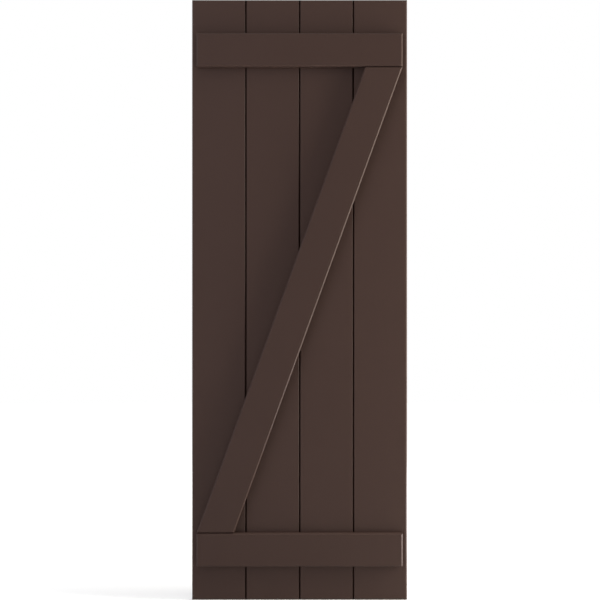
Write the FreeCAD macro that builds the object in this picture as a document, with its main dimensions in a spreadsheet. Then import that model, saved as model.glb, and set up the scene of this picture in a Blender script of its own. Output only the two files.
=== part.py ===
# Board and batten shutter: upright tongue and groove boards, two battens and a diagonal brace.
# Millimetres. +Z is up, +X is to the right seen from the front, and the front faces -Y.
# The origin is on the flat back, half way up and half way across.
import FreeCAD, Part
import os
import Sketcher

# Driving dimensions: name, value, what it measures
SIZES = (
    ("board_pitch", 136.525, "width that one board covers"),
    ("board_length", 1524.0, "height of the shutter"),
    ("board_thickness", 19.05, "face to back of a board"),
    ("face_gap", 4.0, "open joint between two board faces"),
    ("back_lip", 4.0, "board thickness left behind the groove"),
    ("tongue_thickness", 5.0, "front to back of the tongue"),
    ("tongue_reach", 10.0, "how far the tongue stands out of its shoulder"),
    ("tongue_side_clearance", 0.2, "room in the groove on each side of the tongue"),
    ("tongue_end_clearance", 1.0, "room in the groove beyond the tongue's tip"),
    ("tongue_chamfer", 1.0, "lead-in on the two arrises of the tongue's tip"),
    ("joint_chamfer", 0.8, "eased arris on both sides of an open joint"),
    ("outline_chamfer", 3.0, "eased arris round the outline of the board panel"),
    ("batten_width", 84.1, "height of a batten"),
    ("batten_thickness", 19.05, "front to back of a batten"),
    ("batten_setback", 88.1, "end of the boards to the outer edge of a batten"),
    ("batten_inset", 12.7, "side of the boards to the end of a batten"),
    ("batten_chamfer", 3.0, "eased arris round the face of a batten"),
    ("brace_width", 88.9, "width of the brace, square to its length"),
    ("brace_thickness", 19.05, "front to back of the brace"),
    ("brace_end_gap", 1.2, "open joint between an end of the brace and its batten"),
    ("brace_chamfer", 3.0, "eased arris round the face of the brace"),
)

BOARD_NAMES = ("left_board", "centre_left_board", "centre_right_board", "right_board")

# Lengths that follow from the driving dimensions
PANEL_WIDTH = f"({len(BOARD_NAMES)} * Sizes.board_pitch)"
BATTEN_LENGTH = f"({PANEL_WIDTH} - 2 * Sizes.batten_inset)"
BATTEN_HEIGHT = "(Sizes.board_length / 2 - Sizes.batten_setback - Sizes.batten_width / 2)"
CLEAR_HEIGHT = "(Sizes.board_length - 2 * (Sizes.batten_setback + Sizes.batten_width))"
BRACE_RISE = f"({CLEAR_HEIGHT} - 2 * Sizes.brace_end_gap)"
LIP_FRONT = "(Sizes.board_thickness - Sizes.back_lip)"
TONGUE_FRONT = f"({LIP_FRONT} - Sizes.tongue_side_clearance - Sizes.tongue_thickness)"
GROOVE_WIDTH = "(Sizes.tongue_thickness + 2 * Sizes.tongue_side_clearance)"
GROOVE_REACH = "(Sizes.tongue_reach + Sizes.tongue_end_clearance)"

# Names for the two ends of a sketch line and for the sketch's own origin
START = 1
END = 2
ORIGIN = -1

TOLERANCE = 1e-4


def make_sheet(doc):
    """Write every driving dimension into a spreadsheet cell with an alias."""
    sheet = doc.addObject("Spreadsheet::Sheet", "Sizes")
    for row, (name, value, meaning) in enumerate(SIZES, start=1):
        sheet.set(f"A{row}", name)
        sheet.set(f"B{row}", str(value))
        sheet.setAlias(f"B{row}", name)
        sheet.set(f"C{row}", meaning)
    doc.recompute()
    return sheet


def make_body(doc, name, place):
    """Empty body whose place is three expressions, for X, Y and Z."""
    body = doc.addObject("PartDesign::Body", name)
    body.Label = name
    for axis, expression in zip("xyz", place):
        body.setExpression(f"Placement.Base.{axis}", expression)
    return body


def add_loop(body, name, plane, corners):
    """Sketch of a four-sided outline on one of the body's origin planes, top and bottom level."""
    sketch = body.newObject("Sketcher::SketchObject", f"{body.Name}_{name}_outline")
    support = next(item for item in body.Origin.OriginFeatures if item.Role == plane)
    sketch.AttachmentSupport = (support, [""])
    sketch.MapMode = "FlatFace"
    points = [FreeCAD.Vector(x, y, 0) for x, y in corners]
    for start, end in zip(points, points[1:] + points[:1]):
        sketch.addGeometry(Part.LineSegment(start, end))
    for line in range(len(points)):
        following = (line + 1) % len(points)
        sketch.addConstraint(Sketcher.Constraint("Coincident", line, END, following, START))
    sketch.addConstraint(Sketcher.Constraint("Horizontal", 0))
    sketch.addConstraint(Sketcher.Constraint("Horizontal", 2))
    return sketch


def add_rectangle(body, name, plane):
    """Sketch of an upright rectangle, still without sizes."""
    sketch = add_loop(body, name, plane, ((-1, -1), (1, -1), (1, 1), (-1, 1)))
    sketch.addConstraint(Sketcher.Constraint("Vertical", 1))
    sketch.addConstraint(Sketcher.Constraint("Vertical", 3))
    return sketch


def value_of(item, expression):
    """What an expression on the sheet comes to now, in millimetres."""
    return float(item.evalExpression(expression))


def bind(sketch, name, expression, kind, *places):
    """Dimension in a sketch that follows an expression on the sheet."""
    dimension = Sketcher.Constraint(kind, *places, value_of(sketch, expression))
    index = sketch.addConstraint(dimension)
    sketch.renameConstraint(index, name)
    sketch.setExpression(f"Constraints.{name}", expression)


def section_sketch(body, name, left, front, width, depth):
    """Rectangle in a board's cross section, measured from the board's left front corner."""
    sketch = add_rectangle(body, name, "XY_Plane")
    sketch.addConstraint(Sketcher.Constraint("Coincident", 0, START, ORIGIN, START))
    bind(sketch, "width", width, "DistanceX", 0, START, 0, END)
    bind(sketch, "depth", depth, "DistanceY", 1, START, 1, END)
    sketch.setExpression("AttachmentOffset.Base.x", left)
    sketch.setExpression("AttachmentOffset.Base.y", front)
    return sketch


def add_pad(body, name, sketch, length):
    """Solid pushed out of a sketch along the sketch's normal."""
    pad = body.newObject("PartDesign::Pad", f"{body.Name}_{name}")
    pad.Profile = sketch
    pad.setExpression("Length", length)
    body.Document.recompute()
    return pad


def add_cut(body, name, sketch):
    """Cut along the whole length of a board."""
    before = body.Tip
    cut = body.newObject("PartDesign::Pocket", f"{body.Name}_{name}")
    cut.Profile = sketch
    cut.Type = "ThroughAll"
    cut.Reversed = True
    body.Document.recompute()
    if cut.Shape.Volume > before.Shape.Volume - TOLERANCE:
        raise RuntimeError(f"{cut.Name} cuts nothing")


def add_chamfer(body, name, size, lines):
    """Chamfer the edges that lie on the given lines, each named by the coordinates it keeps."""

    def lies_on(edge, line):
        return all(
            abs(getattr(vertex, axis) - value) < TOLERANCE
            for vertex in edge.Vertexes
            for axis, value in line.items()
        )

    base = body.Tip
    edges = [
        f"Edge{number}"
        for number, edge in enumerate(base.Shape.Edges, start=1)
        if any(lies_on(edge, line) for line in lines)
    ]
    chamfer = body.newObject("PartDesign::Chamfer", f"{body.Name}_{name}")
    chamfer.Base = (base, edges)
    chamfer.setExpression("Size", size)
    body.Document.recompute()


def cut_groove(body):
    """Left edge of a board: the face stops short of the lip behind it, and a groove runs deeper."""
    gap = section_sketch(body, "face_gap", "0", "0", "Sizes.face_gap", LIP_FRONT)
    add_cut(body, "face_gap", gap)
    groove_front = f"({LIP_FRONT} - {GROOVE_WIDTH})"
    groove = section_sketch(body, "groove", "0", groove_front, GROOVE_REACH, GROOVE_WIDTH)
    add_cut(body, "groove", groove)


def add_tongue(body, shoulder):
    """Right edge of a board: a tongue with a lead-in, which closes the open joint from behind."""
    outline = section_sketch(
        body, "tongue", shoulder, TONGUE_FRONT, "Sizes.tongue_reach", "Sizes.tongue_thickness"
    )
    tongue = add_pad(body, "tongue", outline, "Sizes.board_length")
    tip = tongue.Shape.BoundBox.XMax
    front = value_of(body, TONGUE_FRONT)
    back = value_of(body, f"{TONGUE_FRONT} + Sizes.tongue_thickness")
    arrises = [{"X": tip, "Y": depth} for depth in (front, back)]
    add_chamfer(body, "tongue_lead_in", "Sizes.tongue_chamfer", arrises)


def make_board(doc, sheet, index):
    """Upright board: groove on its left, tongue on its right, square at the sides of the panel."""
    has_groove = index > 0
    has_tongue = index < len(BOARD_NAMES) - 1
    left = f"{index} * Sizes.board_pitch - {PANEL_WIDTH} / 2"
    right = f"{index + 1} * Sizes.board_pitch - {PANEL_WIDTH} / 2"
    if has_groove:
        left += " - Sizes.face_gap / 2"
    if has_tongue:
        right += " - Sizes.face_gap / 2"
    width = f"(({right}) - ({left}))"

    place = (left, "-Sizes.board_thickness", "-Sizes.board_length / 2")
    body = make_body(doc, BOARD_NAMES[index], place)
    outline = section_sketch(body, "blank", "0", "0", width, "Sizes.board_thickness")
    blank = add_pad(body, "blank", outline, "Sizes.board_length")
    box = blank.Shape.BoundBox
    open_sides = []
    plain_sides = []
    if has_groove:
        cut_groove(body)
        open_sides.append(sheet.face_gap)
    else:
        plain_sides.append(box.XMin)
    if has_tongue:
        add_tongue(body, width)
        open_sides.append(box.XMax)
    else:
        plain_sides.append(box.XMax)

    ends = [{"Y": box.YMin, "Z": end} for end in (box.ZMin, box.ZMax)]
    sides = [{"X": side, "Y": box.YMin} for side in plain_sides]
    joints = [{"X": side, "Y": box.YMin} for side in open_sides]
    add_chamfer(body, "outline_arris", "Sizes.outline_chamfer", ends + sides)
    add_chamfer(body, "joint_arris", "Sizes.joint_chamfer", joints)
    return body


def finish_bar(body, outline, thickness, chamfer):
    """Push a batten or brace forward from the boards and ease the arris round its face."""
    bar = add_pad(body, "bar", outline, thickness)
    add_chamfer(body, "face_arris", chamfer, [{"Y": bar.Shape.BoundBox.YMin}])


def make_batten(doc, name, height):
    """Level bar across the boards, set in from both of their sides."""
    body = make_body(doc, name, ("0", "-Sizes.board_thickness", height))
    outline = add_rectangle(body, "bar", "XZ_Plane")
    outline.addConstraint(Sketcher.Constraint("Symmetric", 0, START, 2, START, ORIGIN, START))
    bind(outline, "length", BATTEN_LENGTH, "DistanceX", 0, START, 0, END)
    bind(outline, "width", "Sizes.batten_width", "DistanceY", 1, START, 1, END)
    finish_bar(body, outline, "Sizes.batten_thickness", "Sizes.batten_chamfer")
    return body


def make_brace(doc, sheet):
    """Bar from the bottom batten's left end up to the top batten's right end, cut level at both."""
    body = make_body(doc, "diagonal_brace", ("0", "-Sizes.board_thickness", "0"))
    half_run = len(BOARD_NAMES) * sheet.board_pitch / 2 - sheet.batten_inset
    batten_reach = sheet.batten_setback + sheet.batten_width + sheet.brace_end_gap
    half_rise = sheet.board_length / 2 - batten_reach
    corners = (
        (-half_run, -half_rise),
        (sheet.brace_width - half_run, -half_rise),
        (half_run, half_rise),
        (half_run - sheet.brace_width, half_rise),
    )
    outline = add_loop(body, "bar", "XZ_Plane", corners)
    outline.addConstraint(Sketcher.Constraint("Symmetric", 0, START, 2, START, ORIGIN, START))
    outline.addConstraint(Sketcher.Constraint("Parallel", 1, 3))
    bind(outline, "run", BATTEN_LENGTH, "DistanceX", 0, START, 2, START)
    bind(outline, "rise", BRACE_RISE, "DistanceY", 0, START, 2, START)
    bind(outline, "width", "Sizes.brace_width", "Distance", 0, START, 1)
    finish_bar(body, outline, "Sizes.brace_thickness", "Sizes.brace_chamfer")
    return body


def check(doc, bodies):
    """Stop before anything is written if a feature failed or a piece is not one good solid."""
    for item in doc.Objects:
        if "Invalid" in item.State or "Error" in item.State:
            raise RuntimeError(f"{item.Name} did not build")
    for body in bodies:
        shape = body.Shape
        if shape.isNull() or not shape.isValid() or len(shape.Solids) != 1:
            raise RuntimeError(f"{body.Label} is not one good solid")


def main():
    doc = FreeCAD.newDocument("BoardAndBattenShutter")
    sheet = make_sheet(doc)
    bodies = [make_board(doc, sheet, index) for index in range(len(BOARD_NAMES))]
    bodies.append(make_batten(doc, "top_batten", BATTEN_HEIGHT))
    bodies.append(make_batten(doc, "bottom_batten", f"-{BATTEN_HEIGHT}"))
    bodies.append(make_brace(doc, sheet))
    doc.recompute()
    check(doc, bodies)
    os.makedirs("parts", exist_ok=True)
    for body in bodies:
        body.Shape.exportStep(f"parts/{body.Label}.step")
        box = body.Shape.BoundBox
        print(f"{body.Label}: {box.XLength:.1f} x {box.YLength:.2f} x {box.ZLength:.1f} mm")


main()
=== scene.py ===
# %% [markdown]
# # A board and batten shutter
# This lesson dresses a imported CAD model of a window shutter: four upright boards, two level battens and
# a diagonal brace, all sprayed one dark brown. The CAD file already has every piece at its true place and
# size, so nothing here is fitted by eye. What is added is what a maker's hand and a spray gun leave:
# softened arrises, screws in their sinks at the back, and a satin coat of paint.
# The model comes in as a fixed frame, and each finished board is later held against the box of its CAD piece.

# %% Load the frame
from math import cos, degrees, pi, radians, sin, tau

import bmesh
import bpy
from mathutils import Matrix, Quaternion, Vector


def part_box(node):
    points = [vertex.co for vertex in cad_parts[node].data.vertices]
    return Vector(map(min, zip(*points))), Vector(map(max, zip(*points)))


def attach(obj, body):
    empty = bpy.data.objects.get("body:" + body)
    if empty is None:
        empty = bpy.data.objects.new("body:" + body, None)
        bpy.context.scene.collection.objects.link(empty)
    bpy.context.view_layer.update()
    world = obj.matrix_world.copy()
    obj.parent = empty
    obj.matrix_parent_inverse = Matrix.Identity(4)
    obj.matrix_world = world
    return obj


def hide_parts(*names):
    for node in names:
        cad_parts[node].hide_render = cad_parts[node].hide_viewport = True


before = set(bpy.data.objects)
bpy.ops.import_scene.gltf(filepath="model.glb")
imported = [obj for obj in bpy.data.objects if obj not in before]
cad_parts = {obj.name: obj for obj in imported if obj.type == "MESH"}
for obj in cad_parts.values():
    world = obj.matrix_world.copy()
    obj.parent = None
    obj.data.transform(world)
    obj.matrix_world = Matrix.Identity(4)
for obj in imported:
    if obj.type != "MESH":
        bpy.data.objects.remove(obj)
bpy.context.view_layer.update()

print("pieces in the frame:", ", ".join(sorted(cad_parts)))

# %% [markdown]
# ## Measure the frame
# Every size that follows comes from the boxes of the CAD pieces, in metres: +Z is up, +X is to the right
# and the face looks along -Y. Reading the boxes keeps this file true to the model if a size there changes.
# The open joint shows as the distance from a back lip to the line half way between two boards, and the
# tongue as the overlap of two neighbouring boxes.

# %% Boards, battens and joints
BOARDS = ("left_board", "centre_left_board", "centre_right_board", "right_board")
BATTENS = ("top_batten", "bottom_batten")
BRACE = "diagonal_brace"
SAME_PLACE = 1e-6

board_boxes = [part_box(name) for name in BOARDS]
panel_left = board_boxes[0][0].x
panel_right = board_boxes[-1][1].x
board_face, board_back = board_boxes[0][0].y, board_boxes[0][1].y
board_foot, board_top = board_boxes[0][0].z, board_boxes[0][1].z
board_pitch = (panel_right - panel_left) / len(BOARDS)
lip_tip = board_boxes[1][0].x
open_joint = 2 * (panel_left + board_pitch - lip_tip)
tongue_reach = board_boxes[0][1].x - lip_tip
print(f"pitch {board_pitch:.4f}, open joint {open_joint:.4f}, tongue {tongue_reach:.4f}")


def corners_at(node, depth):
    """Corners of a CAD piece that lie at this depth along Y."""
    return [v.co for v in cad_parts[node].data.vertices if abs(v.co.y - depth) < SAME_PLACE]


def face_ease(node):
    """Width of the eased arris at the top of a piece: box top less the highest point of its face."""
    low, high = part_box(node)
    return high.z - max(corner.z for corner in corners_at(node, low.y))


outline_ease = face_ease(BOARDS[0])
print(f"eased arris round the panel {outline_ease:.4f}, round a batten {face_ease(BATTENS[0]):.4f}")

# %% [markdown]
# ## Set up the camera
# The shutter is seen straight on and fills the picture from top to bottom. Perspective is slight: of a
# batten's inner side, one board thickness deep, only a sliver shows, a little over a pixel. That puts the
# camera about three metres away, and a 75 mm lens then frames the panel with no lens shift.

# %% Camera
PICTURE_SIDE = 600
PANEL_IN_PICTURE = 599.6
PANEL_OFF_CENTRE = 0.4
PANEL_ABOVE_CENTRE = 0.1
LENS_MM = 75.0
SENSOR_MM = 36.0

metres_per_pixel = (board_top - board_foot) / PANEL_IN_PICTURE
lens = bpy.data.cameras.new("lens")
lens.lens = LENS_MM
lens.sensor_width = SENSOR_MM
camera_distance = PICTURE_SIDE * metres_per_pixel * LENS_MM / SENSOR_MM
camera = bpy.data.objects.new("camera", lens)
outline_plane = board_face + outline_ease
camera.location = (PANEL_OFF_CENTRE * metres_per_pixel, outline_plane - camera_distance,
                   -PANEL_ABOVE_CENTRE * metres_per_pixel)
camera.rotation_euler = (radians(90), 0.0, 0.0)
bpy.context.scene.collection.objects.link(camera)
bpy.context.scene.camera = camera
bpy.context.scene.view_settings.view_transform = "Standard"
print(f"camera {camera_distance:.3f} m in front of the outline, {metres_per_pixel * 1000:.3f} mm per pixel")

# %% [markdown]
# ## A bench for node trees
# Finishes and shapes are both drawn as node trees, and laying nodes out one line at a time hides what
# they do. Two small classes keep that readable. A Wire is one output socket: adding, multiplying or
# comparing it writes the Math node for that sum, so a mask turned over is just `1 - mask` and a limit is
# just `height < top`. A Bench holds a tree and adds any other node in one call: its kind, its settings,
# then its sockets.

# %% Wire and Bench
class Wire:
    """One output socket of a node; sums on it add Math nodes."""

    def __init__(self, bench, socket):
        self.bench = bench
        self.socket = socket

    def of(self, name):
        """Another output of the same node."""
        return Wire(self.bench, self.socket.node.outputs[name])

    def sum(self, operation, first, second):
        return self.bench.add("ShaderNodeMath", {"operation": operation}, {0: first, 1: second})

    def __add__(self, other):
        return self.sum("ADD", self, other)

    def __radd__(self, other):
        return self.sum("ADD", other, self)

    def __sub__(self, other):
        return self.sum("SUBTRACT", self, other)

    def __rsub__(self, other):
        return self.sum("SUBTRACT", other, self)

    def __mul__(self, other):
        return self.sum("MULTIPLY", self, other)

    def __rmul__(self, other):
        return self.sum("MULTIPLY", other, self)

    def __lt__(self, other):
        return self.sum("LESS_THAN", self, other)

    def __gt__(self, other):
        return self.sum("GREATER_THAN", self, other)

    def __abs__(self):
        return self.sum("ABSOLUTE", self, 0.0)


class Bench:
    """A node tree and the one way that nodes are put on it."""

    def __init__(self, tree):
        self.tree = tree

    def add(self, kind, settings=None, sockets=None):
        node = self.tree.nodes.new(kind)
        for name, value in (settings or {}).items():
            setattr(node, name, value)
        for name, value in (sockets or {}).items():
            self.plug(self.find(node, name), value)
        shown = [socket for socket in node.outputs if socket.enabled]
        return Wire(self, shown[0]) if shown else None

    def find(self, node, name):
        if isinstance(name, int):
            return node.inputs[name]
        return next(socket for socket in node.inputs if socket.enabled and socket.name == name)

    def plug(self, socket, value):
        for item in value if isinstance(value, list) else [value]:
            if isinstance(item, Wire):
                self.tree.links.new(item.socket, socket)
            else:
                socket.default_value = item


print("bench ready for finishes and shapes")

# %% [markdown]
# ## Brown satin paint
# The real shutter is sprayed a dark warm brown over smooth trim board, so no grain shows. Close to, a
# sprayed coat is never quite flat: it dries to a fine orange peel, lies a touch thicker in some places
# than others, and follows faint lines that the planer left along each piece. One colour with one gloss
# would make the big flat faces look like plastic sheet. Here slow noise shifts the tone by a few parts in
# a hundred, finer noise moves the gloss, and a bump adds the peel and the planer lines.

# %% Tones and grain sizes of the paint
PAINT_DARK = (0.052, 0.0300, 0.0250, 1.0)
PAINT_LIGHT = (0.060, 0.0355, 0.0295, 1.0)
CLOUDS_PER_METRE = 4.0
FLECKS_PER_METRE = 900.0
PEEL_PER_METRE = 380.0
PLANER_LINES_PER_METRE = (260.0, 260.0, 3.0)
ROUGHNESS = 0.36
CLOUD_ROUGHNESS, FLECK_ROUGHNESS = 0.08, 0.06
RELIEF_DEPTH, RELIEF_STRENGTH = 0.0003, 0.4
SPECULAR = 0.12


def noise(bench, place, scale, detail):
    """Soft noise of this scale at a place; more detail breaks it up into finer swells."""
    return bench.add("ShaderNodeTexNoise", None, {"Vector": place, "Scale": scale, "Detail": detail})


print(f"orange peel {1000 / PEEL_PER_METRE:.1f} mm apart, tone drifts over {1 / CLOUDS_PER_METRE:.2f} m")

# %% [markdown]
# Deep in the open joints the boards' paint is given a darker tone. This is painted shade, for the little
# light that reaches down there, and the paint is also made rougher there, so duller. The depth behind the
# face says where, and the outer sides and ends of the panel, which are sprayed as well as the face, are
# left out by their distance from the middle.

# %% Painted shade in the open joints
# Colour of the painted shade deep in the joints; the roughness there is raised as well.
JOINT_SHADE_TONE = (0.038, 0.0160, 0.0115, 1.0)
JOINT_ROUGHNESS = 0.35
DULL_STARTS, DULL_FULL, DULL_ENDS = 0.0005, 0.0035, 0.012


def joint_shade_mask(bench, place):
    """Mask for the painted shade: nought on the faces, ends and outer sides of the panel, one deep in its
    joints.
    """
    split = bench.add("ShaderNodeSeparateXYZ", None, {"Vector": place})
    across, depth, height = split.of("X"), split.of("Y"), split.of("Z")
    deep = bench.add("ShaderNodeMapRange", None, {
        "Value": depth, "From Min": board_face + DULL_STARTS, "From Max": board_face + DULL_FULL})
    in_front = depth < board_face + DULL_ENDS
    off_sides = abs(across) < panel_right - outline_ease
    off_ends = abs(height) < board_top - outline_ease
    return deep * in_front * off_sides * off_ends


print(f"joints are dull from {DULL_FULL * 1000:.1f} to {DULL_ENDS * 1000:.1f} mm behind the face")

# %% [markdown]
# One function mixes the coat for any piece. Its noises read the piece's own Object coordinates, so they stay
# on the paint, and a Mapping node turns the planer lines to run along the piece.

# %% The coat
def brown_paint(name, lean, shade_joints=False):
    """Satin brown paint with planer lines along a piece leaning this far from upright, and painted joint
    shade if asked.
    """
    paint = bpy.data.materials.new(name)
    paint.use_nodes = True
    bench = Bench(paint.node_tree)
    coat = paint.node_tree.nodes["Principled BSDF"]
    place = bench.add("ShaderNodeTexCoord").of("Object")
    along = bench.add("ShaderNodeMapping", None, {"Vector": place, "Rotation": (0.0, lean, 0.0)})
    stretched = bench.add("ShaderNodeVectorMath", {"operation": "MULTIPLY"},
                          {0: along, 1: PLANER_LINES_PER_METRE})

    cloud = noise(bench, along, CLOUDS_PER_METRE, 3.0)
    fleck = noise(bench, place, FLECKS_PER_METRE, 2.0)
    peel = noise(bench, place, PEEL_PER_METRE, 1.0)
    lines = noise(bench, stretched, 1.0, 2.0)

    tone = cloud * 0.7 + fleck * 0.2 + lines * 0.1
    colour = bench.add("ShaderNodeMix", {"data_type": "RGBA"},
                       {"Factor": tone, "A": PAINT_DARK, "B": PAINT_LIGHT})
    roughness = ROUGHNESS + cloud * CLOUD_ROUGHNESS + fleck * FLECK_ROUGHNESS
    # Painted shade: for the boards the coat turns darker deep in the open joints, where little light reaches.
    if shade_joints:
        depth = joint_shade_mask(bench, place)
        colour = bench.add("ShaderNodeMix", {"data_type": "RGBA"},
                           {"Factor": depth, "A": colour, "B": JOINT_SHADE_TONE})
        roughness = roughness + depth * JOINT_ROUGHNESS
    height = peel * 0.7 + lines * 0.3
    relief = bench.add("ShaderNodeBump", None, {
        "Strength": RELIEF_STRENGTH, "Distance": RELIEF_DEPTH, "Height": height})

    bench.plug(coat.inputs["Base Color"], colour)
    bench.plug(coat.inputs["Roughness"], roughness)
    bench.plug(coat.inputs["Normal"], relief)
    bench.plug(coat.inputs["Specular IOR Level"], SPECULAR)
    return paint


# The boards' coat carries the painted shade deep in the open joints.
board_paint = brown_paint("brown_paint_boards", 0.0, shade_joints=True)
batten_paint = brown_paint("brown_paint_battens", radians(90))
print("paint for boards and battens:", board_paint.name, batten_paint.name)

# %% [markdown]
# The brace is slanted, and its planer lines with it. Its lean is read from the CAD piece: the line between
# the middles of its two level cuts, on the back that lies on the boards.

# %% Paint for the brace
brace_back = corners_at(BRACE, board_face)
brace_foot = min(corner.z for corner in brace_back)
brace_head = max(corner.z for corner in brace_back)


def middle_at(height):
    """Middle of the brace's back where it is cut level at this height."""
    cut = [corner.x for corner in brace_back if abs(corner.z - height) < SAME_PLACE]
    return (min(cut) + max(cut)) / 2


brace_line = Vector((middle_at(brace_head) - middle_at(brace_foot), 0.0, brace_head - brace_foot))
brace_lean = brace_line.angle(Vector((0.0, 0.0, 1.0)))
brace_paint = brown_paint("brown_paint_brace", -brace_lean)
print(f"paint for the brace, which leans {degrees(brace_lean):.1f} degrees from upright")

# %% [markdown]
# ## Keep a result as a plain mesh
# Trees and modifiers describe a shape; the finished piece is the mesh they come to. Evaluating the object
# once and keeping that mesh leaves nothing live on it. Every piece is made at the origin, with its place in
# its mesh, as the CAD pieces are.

# %% Plain meshes
def keep_result(piece):
    """Swap the piece's mesh for what its modifiers make of it, and take the modifiers off."""
    graph = bpy.context.evaluated_depsgraph_get()
    made = bpy.data.meshes.new_from_object(piece.evaluated_get(graph), depsgraph=graph)
    piece.modifiers.clear()
    before = piece.data
    piece.data = made
    bpy.data.meshes.remove(before)


def new_piece(name, corners, faces=()):
    """Object at the origin with a mesh of corners and faces."""
    mesh = bpy.data.meshes.new(name)
    mesh.from_pydata(corners, [], faces)
    piece = bpy.data.objects.new(name, mesh)
    bpy.context.scene.collection.objects.link(piece)
    return piece


print("helpers ready:", keep_result.__name__, new_piece.__name__)

# %% [markdown]
# ## Soften the arrises
# No edge of sanded and painted stock is sharp, and a softened arris is what catches the light. A fine bevel
# rounds every edge that turns by more than a little. Flat faces should stay flat and only the arrises
# should look round, so normals are weighted by face area, and any edge sharper than the steps of a softened
# arris stays sharp.

# %% Softened arrises
ARRIS = 0.0004
ARRIS_STEPS = 3
ARRIS_ANGLE = radians(25)
SHARP_ANGLE = radians(38)


def soften(piece):
    """Round every arris a little, as sanding and paint do."""
    bevel = piece.modifiers.new("arris", "BEVEL")
    bevel.width = ARRIS
    bevel.segments = ARRIS_STEPS
    bevel.limit_method = "ANGLE"
    bevel.angle_limit = ARRIS_ANGLE
    keep_result(piece)


def weigh_normals(piece):
    """Smooth shading that leaves the flats flat."""
    piece.data.shade_smooth()
    piece.data.set_sharp_from_angle(angle=SHARP_ANGLE)
    weigh = piece.modifiers.new("normals", "WEIGHTED_NORMAL")
    weigh.keep_sharp = True
    keep_result(piece)


print(f"arrises are rounded to {ARRIS * 1000:.1f} mm")

# %% [markdown]
# ## Trees that make shapes
# A shape tree has named inputs, as a jig has stops, and one output. Its inputs are set on the modifier by
# their identifiers before the object is looked at for the first time. Each tree ends the same way: copies
# become real geometry and get their finish.

# %% Shape trees
INPUT_KINDS = {"length": "NodeSocketFloat", "count": "NodeSocketInt", "piece": "NodeSocketObject",
               "finish": "NodeSocketMaterial"}


def shape_tree(name, inputs):
    """New Geometry Nodes tree with named inputs; gives its bench and its Group Input."""
    tree = bpy.data.node_groups.new(name, "GeometryNodeTree")
    tree.interface.new_socket("Geometry", in_out="INPUT", socket_type="NodeSocketGeometry")
    for title, kind in inputs.items():
        tree.interface.new_socket(title, in_out="INPUT", socket_type=INPUT_KINDS[kind])
    tree.interface.new_socket("Geometry", in_out="OUTPUT", socket_type="NodeSocketGeometry")
    bench = Bench(tree)
    return bench, bench.add("NodeGroupInput")


def close_tree(bench, shape, finish):
    """Real geometry with its finish, out of the tree."""
    real = bench.add("GeometryNodeRealizeInstances", None, {"Geometry": shape})
    done = bench.add("GeometryNodeSetMaterial", None, {"Geometry": real, "Material": finish})
    bench.add("NodeGroupOutput", None, {"Geometry": done})
    return bench.tree


def grow(piece, tree, values):
    """Run a shape tree on a piece with these inputs and keep the result."""
    modifier = piece.modifiers.new(tree.name, "NODES")
    modifier.node_group = tree
    for item in tree.interface.items_tree:
        if item.in_out == "INPUT" and item.name in values:
            modifier[item.identifier] = values[item.name]
    keep_result(piece)


print("shape trees take:", ", ".join(INPUT_KINDS))

# %% [markdown]
# ## Boards from their section
# A tongue and groove board is a section pulled along its length, which is just how a moulding machine
# makes it. It could be a box with cuts in it, but the rule is shorter: draw the section, pull it up, and
# keep what it has in common with the board's side view, which carries the eased ends. Both outlines are
# single faces, and the tree pulls each into a prism. The tongue is about a quarter of the board's
# thickness and lies towards the back, with some play in its groove, so the open joint in front is deep.
# At the back the lips meet, and the eased arrises there leave a fine line at each joint.

# %% Section of a board
TONGUE_THICK = 0.0050
TONGUE_LEAD = 0.001
GROOVE_PLAY = 0.0002
GROOVE_SPARE = 0.001
BACK_LIP = 0.004
JOINT_EASE = 0.0008
BACK_EASE = 0.0008

groove_back = board_back - BACK_LIP
tongue_back = groove_back - GROOVE_PLAY
tongue_front = tongue_back - TONGUE_THICK
groove_front = tongue_front - GROOVE_PLAY
print("depths behind the face, mm:",
      [round((depth - board_face) * 1000, 2) for depth in (groove_front, tongue_front, groove_back)])

# %% [markdown]
# Each side of a section is a short list of points from the back to the face, so a board is a left side
# followed by a right side in reverse. The two outer boards have one plain side each.

# %% Sides of a board
def plain_side(x, inward):
    """Section points of a plain side with an eased arris, from the back to the face."""
    return [(x, board_back), (x, board_face + outline_ease), (x + inward * outline_ease, board_face)]


def groove_side(tip):
    """Section points of a grooved left side, from the back to the face."""
    face = tip + open_joint
    floor = tip + tongue_reach + GROOVE_SPARE
    return [(tip + BACK_EASE, board_back), (tip, board_back - BACK_EASE), (tip, groove_back),
            (floor, groove_back), (floor, groove_front), (face, groove_front),
            (face, board_face + JOINT_EASE), (face + JOINT_EASE, board_face)]


def tongue_side(shoulder):
    """Section points of a tongued right side, from the back to the face."""
    tip = shoulder + tongue_reach
    return [(shoulder - BACK_EASE, board_back), (shoulder, board_back - BACK_EASE),
            (shoulder, tongue_back), (tip - TONGUE_LEAD, tongue_back),
            (tip, tongue_back - TONGUE_LEAD), (tip, tongue_front + TONGUE_LEAD),
            (tip - TONGUE_LEAD, tongue_front), (shoulder, tongue_front),
            (shoulder, board_face + JOINT_EASE), (shoulder - JOINT_EASE, board_face)]


def board_section(number):
    """Outline of one board seen from above, anticlockwise, at the foot of the board."""
    lip = panel_left + number * board_pitch - open_joint / 2
    shoulder = lip + board_pitch
    west = plain_side(panel_left, 1) if number == 0 else groove_side(lip)
    east = plain_side(panel_right, -1) if number == len(BOARDS) - 1 else tongue_side(shoulder)
    return [(x, y, board_foot) for x, y in west + east[::-1]]


print("points in the sections:", [len(board_section(number)) for number in range(len(BOARDS))])

# %% [markdown]
# Pulling a face leaves its start open, so a copy turned over closes it. The tree does this twice, upwards
# for the section and across for the side view, and keeps what both prisms share.

# %% Tree that pulls a board
WELD = 1e-5


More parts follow.
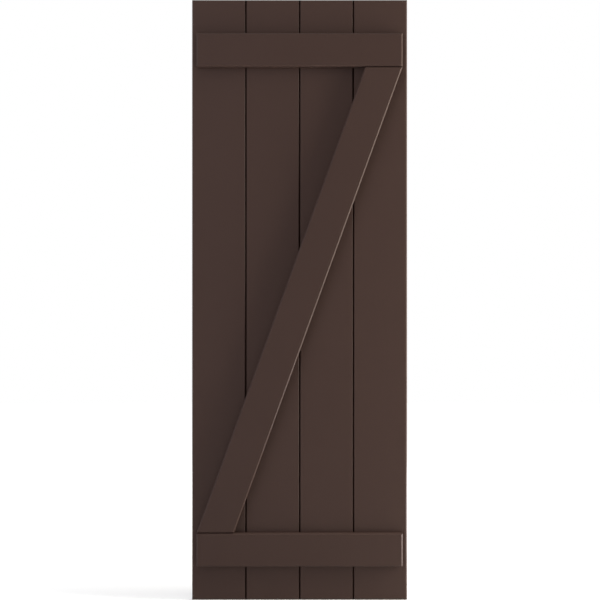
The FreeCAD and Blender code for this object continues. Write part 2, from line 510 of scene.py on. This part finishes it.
def pull(bench, face, way, length):
    """Closed prism: a face pulled along a direction, with its turned-over copy left at the start."""
    pulled = bench.add("GeometryNodeExtrudeMesh", {"mode": "FACES"},
                       {"Mesh": face, "Offset": way, "Offset Scale": length, "Individual": False})
    start = bench.add("GeometryNodeFlipFaces", None, {"Mesh": face})
    both = bench.add("GeometryNodeJoinGeometry", None, {"Geometry": [start, pulled]})
    return bench.add("GeometryNodeMergeByDistance", None, {"Geometry": both, "Distance": WELD})


bench, given = shape_tree("board from its section", {
    "Side view": "piece", "Length": "length", "Cut width": "length", "Paint": "finish"})
stick = pull(bench, given, (0.0, 0.0, 1.0), given.of("Length"))
outline = bench.add("GeometryNodeObjectInfo", None, {"Object": given.of("Side view")}).of("Geometry")
cross_cut = pull(bench, outline, (1.0, 0.0, 0.0), given.of("Cut width"))
board = bench.add("GeometryNodeMeshBoolean", {"operation": "INTERSECT", "solver": "EXACT"},
                  {1: [stick, cross_cut]})
board_tree = close_tree(bench, board, given.of("Paint"))
print("board tree:", len(board_tree.nodes), "nodes")

# %% [markdown]
# The side view is drawn a little outside the panel and pulled past the other side, so that one outline
# serves all four boards. Each finished board is held against the box of its CAD piece.

# %% The four boards
OVERSHOOT = 0.02


def off_box(piece, node):
    """Largest distance between a side of the piece's box and that of its CAD piece."""
    misses = []
    for axis, ends in enumerate(zip(*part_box(node))):
        reach = [vertex.co[axis] for vertex in piece.data.vertices]
        misses += [abs(min(reach) - ends[0]), abs(max(reach) - ends[1])]
    return max(misses)


west_edge = panel_left - OVERSHOOT
side_view = new_piece("side_view", [
    (west_edge, board_face + outline_ease, board_foot), (west_edge, board_back, board_foot),
    (west_edge, board_back, board_top), (west_edge, board_face + outline_ease, board_top),
    (west_edge, board_face, board_top - outline_ease), (west_edge, board_face, board_foot + outline_ease),
], [range(6)])

boards = {}
for number, name in enumerate(BOARDS):
    section = board_section(number)
    piece = new_piece(name + "_painted", section, [range(len(section))])
    grow(piece, board_tree, {
        "Side view": side_view, "Length": board_top - board_foot,
        "Cut width": panel_right - panel_left + 2 * OVERSHOOT, "Paint": board_paint})
    soften(piece)
    boards[name] = piece
    miss = off_box(piece, name) * 1000
    print(f"{name} has {len(piece.data.polygons)} faces and is off its CAD box by {miss:.3f} mm")

# %% [markdown]
# ## Stop the ends of the joints
# Rain would run into an open joint from above, so its ends are stopped with a little sealant, tooled hollow
# and painted with the boards. The picture agrees: the top and bottom edges of the panel run on unbroken
# past the joints. Each stop is drawn as a small side view, flush with the end of the boards and running
# out on the tongue, and one tree pulls all six across their joints at once.

# %% Side view of a stop
STOP_HEIGHT = 0.008
STOP_STEPS = 6


def stop_outline(joint, end):
    """Side view of the stop at one end of a joint, 1 for the top and -1 for the foot."""
    x = panel_left + joint * board_pitch - open_joint / 2
    reach = tongue_front - board_face - outline_ease
    points = [(x, tongue_front, end * board_top)]
    for step in range(STOP_STEPS + 1):
        turn = radians(90) * step / STOP_STEPS
        points.append((x, tongue_front - reach * (1 - sin(turn)),
                       end * (board_top - STOP_HEIGHT * (1 - cos(turn)))))
    return points[::end]


print("points in the side view of a stop:", len(stop_outline(1, 1)))

# %% Stops in the joints
def litres(piece):
    """Volume of a closed mesh, below nought where its faces point inwards."""
    work = bmesh.new()
    work.from_mesh(piece.data)
    volume = work.calc_volume(signed=True) * 1000
    work.free()
    return volume


bench, given = shape_tree("stops across the joints", {"Width": "length", "Paint": "finish"})
filled = pull(bench, given, (1.0, 0.0, 0.0), given.of("Width"))
stop_tree = close_tree(bench, filled, given.of("Paint"))

stop_corners, stop_faces = [], []
for joint in range(1, len(BOARDS)):
    for end in (1, -1):
        corners = stop_outline(joint, end)
        stop_faces.append(range(len(stop_corners), len(stop_corners) + len(corners)))
        stop_corners += corners
stops = new_piece("joint_stops", stop_corners, stop_faces)
# The stops take the boards' paint, and with it the painted shade deep in the joint.
grow(stops, stop_tree, {"Width": open_joint, "Paint": board_paint})
print(f"{len(stop_faces)} stops with {len(stops.data.polygons)} faces,",
      f"{litres(stops) * 1000:.2f} ml of sealant")

# %% [markdown]
# ## Battens and brace
# These bars are plain stock with an eased arris round the face, and the CAD shape is already right, down to
# the level cuts at the ends of the brace, which leave an open line to each batten. So each is a copy of its
# CAD piece. That mesh comes as loose triangles: joining the corners and dissolving the lines between flat
# triangles makes it whole again, and then its arrises are softened like the boards'.

# %% Bars
FLAT_ANGLE = radians(0.5)


def merged_copy(node, finish):
    """Whole mesh of a CAD piece in a new object, with its finish."""
    work = bmesh.new()
    work.from_mesh(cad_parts[node].data)
    bmesh.ops.remove_doubles(work, verts=work.verts, dist=SAME_PLACE)
    bmesh.ops.dissolve_limit(work, angle_limit=FLAT_ANGLE, verts=work.verts, edges=work.edges)
    piece = new_piece(node + "_painted", [])
    work.to_mesh(piece.data)
    work.free()
    piece.data.materials.clear()
    piece.data.materials.append(finish)
    return piece


bars = {}
for name in BATTENS + (BRACE,):
    bars[name] = merged_copy(name, brace_paint if name == BRACE else batten_paint)
    soften(bars[name])
    print(f"{name} has {len(bars[name].data.polygons)} faces and a volume of {litres(bars[name]):.3f} litres")

# %% [markdown]
# ## Lay out the screws
# The face shows no fixings, so the boards are screwed to the bars from behind: two screws where a board
# crosses a batten, one high and one low so that the joint can't turn, and two where it crosses the brace.
# The places follow from the boards' middles and from the line of the brace.

# %% Screw places
SCREW_SIDE = 0.034
SCREW_RISE = 0.020
END_MARGIN = 0.035

screw_places = {}
for number, name in enumerate(BOARDS):
    middle = panel_left + (number + 0.5) * board_pitch
    places = []
    for batten in BATTENS:
        low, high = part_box(batten)
        height = (low.z + high.z) / 2
        places += [(middle - SCREW_SIDE, height + SCREW_RISE), (middle + SCREW_SIDE, height - SCREW_RISE)]
    for side in (-SCREW_SIDE, SCREW_SIDE):
        rise = (middle + side - middle_at(brace_foot)) / brace_line.x * brace_line.z + brace_foot
        rise = max(brace_foot + END_MARGIN, min(brace_head - END_MARGIN, rise))
        along = (rise - brace_foot) / brace_line.z
        places.append((middle_at(brace_foot) + along * brace_line.x, rise))
    screw_places[name] = places
print("screws:", sum(len(places) for places in screw_places.values()))

# %% [markdown]
# ## Sink the screws into the boards
# A countersunk head needs a conical seat, so each board gets real ones: a tree sets a cone at every screw
# place of that board and cuts them all out of its back at once. The seats are a little wider than the heads,
# which leaves a fine shadow line round each. The cut uses the manifold solver, made for closed meshes such
# as these: the exact one can turn a board with finely rounded arrises inside out. The volume tells, since
# it comes out below nought for such a board.

# %% Tree that cuts the sinks
HEAD_WIDTH = 0.0086
SHANK_WIDTH = 0.0042
HEAD_DEPTH = 0.0030
HEAD_SINK = 0.0006
CONE_SIDES = 32
CUT_PROUD = 1e-5


def tapered(bench, wide, narrow, depth):
    """Cone with its wide end at the origin, looking out along +Y."""
    cone = bench.add("GeometryNodeMeshCone", None, {
        "Vertices": CONE_SIDES, "Radius Top": wide * 0.5, "Radius Bottom": narrow * 0.5, "Depth": depth})
    reach = bench.add("ShaderNodeCombineXYZ", None, {"Y": 0.0 - depth})
    return bench.add("GeometryNodeTransform", None, {
        "Geometry": cone, "Translation": reach, "Rotation": (radians(-90), 0.0, 0.0)})


bench, given = shape_tree("screw sinks", {
    "Places": "piece", "Width": "length", "Narrow width": "length", "Depth": "length", "Paint": "finish"})
places = bench.add("GeometryNodeObjectInfo", None, {"Object": given.of("Places")}).of("Geometry")
cone = tapered(bench, given.of("Width"), given.of("Narrow width"), given.of("Depth"))
cones = bench.add("GeometryNodeInstanceOnPoints", None, {"Points": places, "Instance": cone})
cutters = bench.add("GeometryNodeRealizeInstances", None, {"Geometry": cones})
sunk = bench.add("GeometryNodeMeshBoolean", {"operation": "DIFFERENCE", "solver": "MANIFOLD"},
                 {0: given, 1: [cutters]})
sink_tree = close_tree(bench, sunk, given.of("Paint"))
print("sink tree:", len(sink_tree.nodes), "nodes")

# %% Sinks in the boards
sink_growth = (HEAD_WIDTH - SHANK_WIDTH) / HEAD_DEPTH
for name, piece in boards.items():
    spots = new_piece(name + "_spots", [(x, board_back + CUT_PROUD, z) for x, z in screw_places[name]])
    grow(piece, sink_tree, {
        "Places": spots, "Width": HEAD_WIDTH + HEAD_SINK * sink_growth, "Narrow width": SHANK_WIDTH,
        "Depth": HEAD_DEPTH + HEAD_SINK, "Paint": board_paint})
    bpy.data.objects.remove(spots)
    print(f"{name} has {len(screw_places[name])} sinks and a volume of {litres(piece):.3f} litres")
bpy.data.objects.remove(side_view)

# %% [markdown]
# ## The screws
# One head is drawn once, a cone with a square drive recess, and set at every place with its own turn, since
# nobody drives two screws to the same angle. The turn comes from a seeded Random Value, so it is the same
# every time. A coated exterior screw has a dull bronze skin that the driver bit scuffs a little.

# %% Screw coat
COAT_DARK = (0.110, 0.074, 0.052, 1.0)
COAT_LIGHT = (0.190, 0.135, 0.092, 1.0)
SCUFFS_PER_METRE = 1400.0
MOTTLES_PER_METRE = 420.0
COAT_ROUGHNESS, SCUFF_ROUGHNESS = 0.38, 0.2
SCUFF_DEPTH, SCUFF_STRENGTH = 0.0001, 0.3
COAT_METAL = 0.7


def bronze_coat():
    """Dull bronze coating with light scuffs."""
    coating = bpy.data.materials.new("bronze_screw_coat")
    coating.use_nodes = True
    bench = Bench(coating.node_tree)
    skin = coating.node_tree.nodes["Principled BSDF"]
    place = bench.add("ShaderNodeTexCoord").of("Object")
    scuff = noise(bench, place, SCUFFS_PER_METRE, 3.0)
    mottle = noise(bench, place, MOTTLES_PER_METRE, 2.0)
    colour = bench.add("ShaderNodeMix", {"data_type": "RGBA"},
                       {"Factor": mottle, "A": COAT_DARK, "B": COAT_LIGHT})
    relief = bench.add("ShaderNodeBump", None, {
        "Strength": SCUFF_STRENGTH, "Distance": SCUFF_DEPTH, "Height": scuff})
    bench.plug(skin.inputs["Base Color"], colour)
    bench.plug(skin.inputs["Roughness"], COAT_ROUGHNESS + scuff * SCUFF_ROUGHNESS)
    bench.plug(skin.inputs["Normal"], relief)
    bench.plug(skin.inputs["Metallic"], COAT_METAL)
    return coating


screw_coat = bronze_coat()
print("screws are coated with", screw_coat.name)

# %% Tree that sets the screws
DRIVE_WIDTH = 0.0030
DRIVE_DEPTH = 0.0020
TURN_SEED = 7

bench, given = shape_tree("screws in their sinks", {
    "Width": "length", "Shank width": "length", "Depth": "length", "Drive width": "length",
    "Drive depth": "length", "Seed": "count", "Coat": "finish"})
blank = tapered(bench, given.of("Width"), given.of("Shank width"), given.of("Depth"))
bit_size = bench.add("ShaderNodeCombineXYZ", None, {
    "X": given.of("Drive width"), "Y": 2 * given.of("Drive depth"), "Z": given.of("Drive width")})
bit = bench.add("GeometryNodeMeshCube", None, {"Size": bit_size})
head = bench.add("GeometryNodeMeshBoolean", {"operation": "DIFFERENCE", "solver": "EXACT"},
                 {0: blank, 1: [bit]})
turn = bench.add("FunctionNodeRandomValue", None, {"Max": tau, "Seed": given.of("Seed")})
spin = bench.add("FunctionNodeEulerToRotation", None,
                 {"Euler": bench.add("ShaderNodeCombineXYZ", None, {"Y": turn})})
heads = bench.add("GeometryNodeInstanceOnPoints", None, {"Points": given, "Instance": head, "Rotation": spin})
screw_tree = close_tree(bench, heads, given.of("Coat"))

head_level = board_back - HEAD_SINK
screws = new_piece("back_screws", [
    (x, head_level, z) for places in screw_places.values() for x, z in places])
grow(screws, screw_tree, {
    "Width": HEAD_WIDTH, "Shank width": SHANK_WIDTH, "Depth": HEAD_DEPTH, "Drive width": DRIVE_WIDTH,
    "Drive depth": DRIVE_DEPTH, "Seed": TURN_SEED, "Coat": screw_coat})
print("screw heads:", len(screws.data.polygons), "faces")

# %% [markdown]
# ## Fasten the pieces to the frame
# The shutter has no moving part, so every piece rides on the one body. Boards and bars stand for their
# CAD pieces, which are then hidden.

# %% Ride
for name, piece in {**boards, **bars}.items():
    weigh_normals(piece)
    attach(piece, "root")
    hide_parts(name)
weigh_normals(stops)
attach(stops, "root")
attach(screws, "root")
print("pieces dressed:", len(boards) + len(bars) + 2)

# %% [markdown]
# ## Floor and background
# The picture has a plain white ground. The floor is a pale matt sheet at the foot of the boards, and the
# world around is white for the camera and for reflections, while what it sheds on the paint is a dim fill.
# Lifting only what the camera sees keeps the ground white without pouring more light on dark paint. The
# lift is about a third at the foot, where the lamps light the floor and the shutter's soft shadow should
# show, and full far off, where the floor meets the white beyond.

# %% Floor
FLOOR_SIDE = 12.0
FLOOR_TONE = (0.85, 0.85, 0.85, 1.0)
FLOOR_ROUGHNESS = 0.9
FLOOR_LIFT = 0.36
LIFT_STARTS, LIFT_FULL = 0.6, 1.8


def seen_white(bench):
    """One for rays from the eye, from a reflection or through glass, nought for light on the object."""
    path = bench.add("ShaderNodeLightPath")
    either = path.sum("MAXIMUM", path.of("Is Camera Ray"), path.of("Is Glossy Ray"))
    return path.sum("MAXIMUM", either, path.of("Is Transmission Ray"))


half = FLOOR_SIDE / 2
floor = new_piece("floor", [(-half, -half, board_foot), (half, -half, board_foot),
                            (half, half, board_foot), (-half, half, board_foot)], [range(4)])
floor_sheet = bpy.data.materials.new("pale_floor")
floor_sheet.use_nodes = True
bench = Bench(floor_sheet.node_tree)
matt = floor_sheet.node_tree.nodes["Principled BSDF"]
bench.plug(matt.inputs["Base Color"], FLOOR_TONE)
bench.plug(matt.inputs["Roughness"], FLOOR_ROUGHNESS)
bench.plug(matt.inputs["Specular IOR Level"], 0.0)
place = bench.add("ShaderNodeTexCoord").of("Object")
distance = bench.add("ShaderNodeVectorMath", {"operation": "LENGTH"}, {0: place})
lift = bench.add("ShaderNodeMapRange", None, {
    "Value": distance, "From Min": LIFT_STARTS, "From Max": LIFT_FULL,
    "To Min": FLOOR_LIFT, "To Max": 1.0})
bench.plug(matt.inputs["Emission Color"], lift)
bench.plug(matt.inputs["Emission Strength"], seen_white(bench))
floor.data.materials.append(floor_sheet)
print(f"floor {FLOOR_SIDE:.0f} m square, level with the foot of the boards at {board_foot:.3f} m")

# %% World
WHITE = (1.0, 1.0, 1.0, 1.0)
FILL_LEVEL = 0.02

world = bpy.data.worlds.new("studio")
bpy.context.scene.world = world
world.use_nodes = True
bench = Bench(world.node_tree)
ground = world.node_tree.nodes["Background"]
bench.plug(ground.inputs["Color"], WHITE)
bench.plug(ground.inputs["Strength"], FILL_LEVEL + seen_white(bench) * (1.0 - FILL_LEVEL))
print(f"world is white to the eye and sheds a fill of {FILL_LEVEL}")

# %% [markdown]
# ## Lamps
# The bright lines down the right-hand arrises and the long soft shadow to the left of the brace say that
# the main lamp is a tall narrow softbox at the right, a little warm and nearly in line with the boards, so
# that it rakes across the face. The lines grow towards the foot while the faces there don't, so its foot
# stands nearer the boards' plane than its head, and a small card near the floor, level with the boards,
# adds to the line on the bottom batten's end. A large cooler panel at the left front fills the faces, a
# small one overhead opens the battens' upper sides, and one behind lights the back. Each is given by the
# brightness of its panel, and its power follows from its size.

# %% Softboxes
def softbox(name, place, aim, width, height, level, tint=WHITE[:3], lean=0.0):
    """Rectangular lamp at a place, turned to its aim and leant to one side, with this panel brightness."""
    lamp = bpy.data.lights.new(name, "AREA")
    lamp.shape = "RECTANGLE"
    lamp.size = width
    lamp.size_y = height
    lamp.energy = level * pi * width * height
    lamp.color = tint
    holder = bpy.data.objects.new(name, lamp)
    holder.location = place
    facing = (Vector(aim) - Vector(place)).to_track_quat("-Z", "Y")
    holder.rotation_euler = (facing @ Quaternion((0.0, 0.0, 1.0), lean)).to_euler()
    holder.visible_camera = False
    bpy.context.scene.collection.objects.link(holder)


softbox("key_right", place=(1.6, -0.30, 0.0), aim=(0.0, -0.30, 0.0), width=0.40, height=2.25,
        level=23.7, tint=(1.0, 0.98, 0.87), lean=radians(5))
softbox("side_left", place=(-1.69, -1.41, 0.70), aim=(0.0, 0.0, 0.70), width=1.7, height=2.4,
        level=2.52, tint=(0.87, 0.895, 0.97))
softbox("overhead", place=(0.0, -0.7, 1.9), aim=(0.0, -0.7, 0.0), width=1.2, height=1.1,
        level=2.4, tint=(1.0, 0.94, 0.84))
softbox("low_right", place=(0.95, 0.0, -0.70), aim=(0.0, 0.0, -0.52), width=0.2, height=0.2,
        level=38.0, tint=(1.0, 0.95, 1.0))
softbox("back_fill", place=(0.9, 2.2, 0.5), aim=(0.0, 0.0, 0.0), width=1.4, height=1.8, level=4.5)
